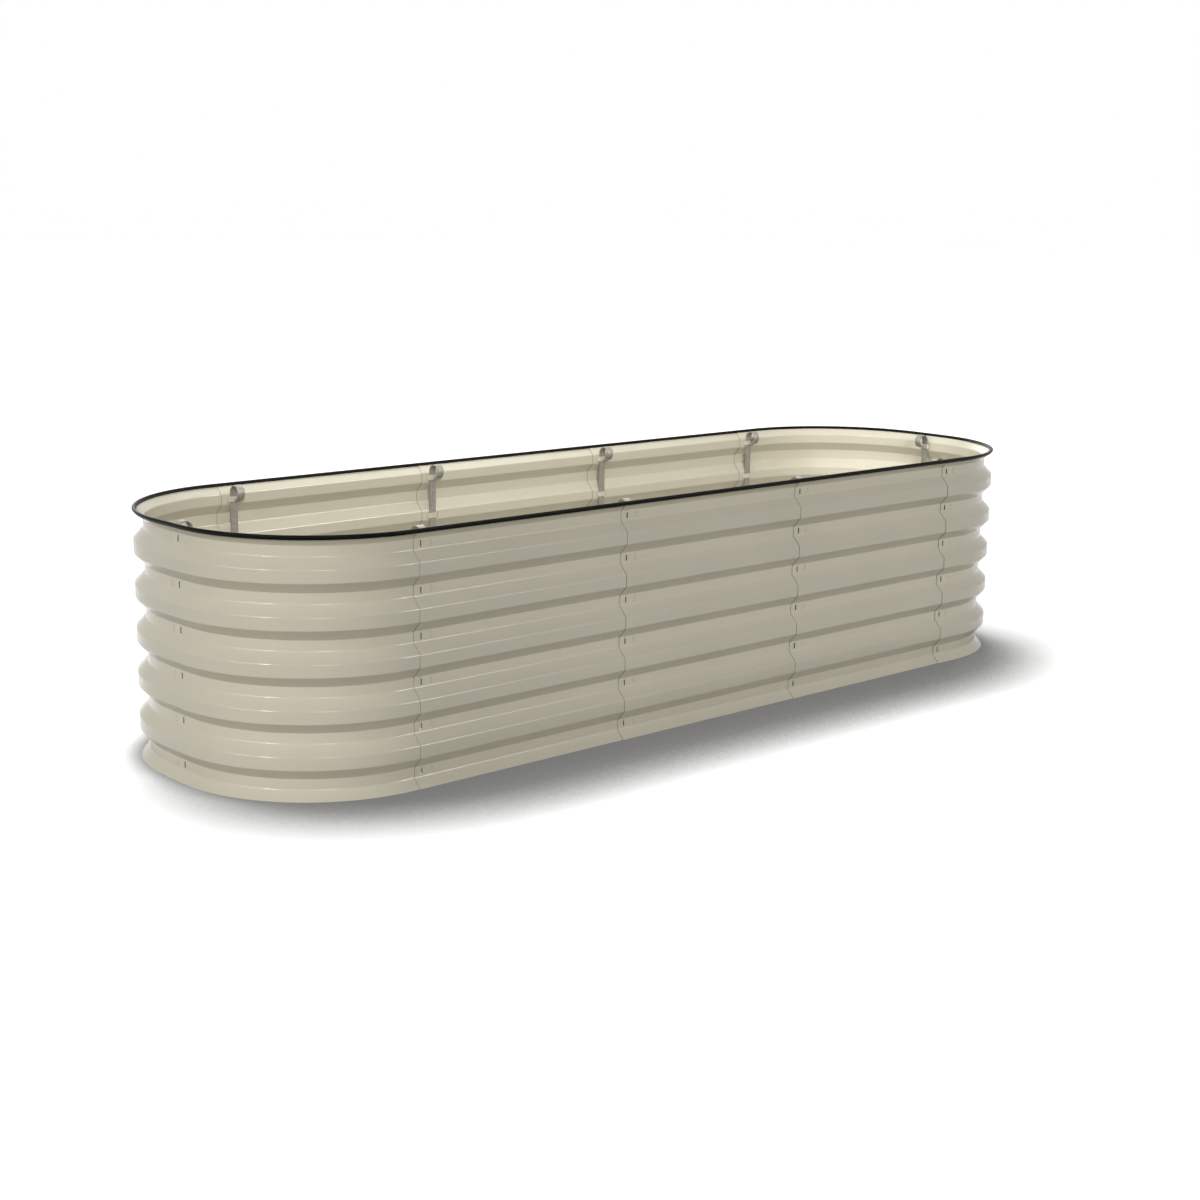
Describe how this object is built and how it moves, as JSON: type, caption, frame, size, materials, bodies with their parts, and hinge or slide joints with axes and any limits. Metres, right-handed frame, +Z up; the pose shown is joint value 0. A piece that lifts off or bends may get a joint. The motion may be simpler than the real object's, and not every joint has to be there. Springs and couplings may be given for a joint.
{
  "type": "raised garden bed",
  "caption": "Long oval raised garden bed of corrugated painted steel panels with lift-out wall pins and a black rubber edge trim, open at top and bottom.",
  "frame": {"origin": "on the ground at the middle of the bed's plan", "axes": "+X along the length of the bed, +Y across it to the back long side, +Z up"},
  "size_m": [1.9844, 0.6128, 0.4347],
  "materials": {
    "painted_sheet": "satin ivory paint on thin corrugated steel",
    "pin_metal": "dull grey coated steel",
    "trim_rubber": "smooth black soft rubber with a slight gloss"
  },
  "bodies": {
    "bed": {"corner_panel_front_left": "painted_sheet", "corner_panel_front_right": "painted_sheet", "corner_panel_back_right": "painted_sheet", "corner_panel_back_left": "painted_sheet", "straight_panel_front_1": "painted_sheet", "straight_panel_front_2": "painted_sheet", "straight_panel_front_3": "painted_sheet", "straight_panel_back_1": "painted_sheet", "straight_panel_back_2": "painted_sheet", "straight_panel_back_3": "painted_sheet", "rim_trim_right": "trim_rubber", "rim_trim_left": "trim_rubber"},
    "pin_front_1": {"wall_pin_front_1": "pin_metal"},
    "pin_front_2": {"wall_pin_front_2": "pin_metal"},
    "pin_front_3": {"wall_pin_front_3": "pin_metal"},
    "pin_front_4": {"wall_pin_front_4": "pin_metal"},
    "pin_right_end": {"wall_pin_right_end": "pin_metal"},
    "pin_back_1": {"wall_pin_back_1": "pin_metal"},
    "pin_back_2": {"wall_pin_back_2": "pin_metal"},
    "pin_back_3": {"wall_pin_back_3": "pin_metal"},
    "pin_back_4": {"wall_pin_back_4": "pin_metal"},
    "pin_left_end": {"wall_pin_left_end": "pin_metal"}
  },
  "joints": [
    {"name": "pin_front_1_lift", "type": "slide", "parent": "bed", "child": "pin_front_1", "axis": [0, 0, 1], "range_m": [0, 0.41]},
    {"name": "pin_front_2_lift", "type": "slide", "parent": "bed", "child": "pin_front_2", "axis": [0, 0, 1], "range_m": [0, 0.41]},
    {"name": "pin_front_3_lift", "type": "slide", "parent": "bed", "child": "pin_front_3", "axis": [0, 0, 1], "range_m": [0, 0.41]},
    {"name": "pin_front_4_lift", "type": "slide", "parent": "bed", "child": "pin_front_4", "axis": [0, 0, 1], "range_m": [0, 0.41]},
    {"name": "pin_right_end_lift", "type": "slide", "parent": "bed", "child": "pin_right_end", "axis": [0, 0, 1], "range_m": [0, 0.41]},
    {"name": "pin_back_1_lift", "type": "slide", "parent": "bed", "child": "pin_back_1", "axis": [0, 0, 1], "range_m": [0, 0.41]},
    {"name": "pin_back_2_lift", "type": "slide", "parent": "bed", "child": "pin_back_2", "axis": [0, 0, 1], "range_m": [0, 0.41]},
    {"name": "pin_back_3_lift", "type": "slide", "parent": "bed", "child": "pin_back_3", "axis": [0, 0, 1], "range_m": [0, 0.41]},
    {"name": "pin_back_4_lift", "type": "slide", "parent": "bed", "child": "pin_back_4", "axis": [0, 0, 1], "range_m": [0, 0.41]},
    {"name": "pin_left_end_lift", "type": "slide", "parent": "bed", "child": "pin_left_end", "axis": [0, 0, 1], "range_m": [0, 0.41]}
  ]
}
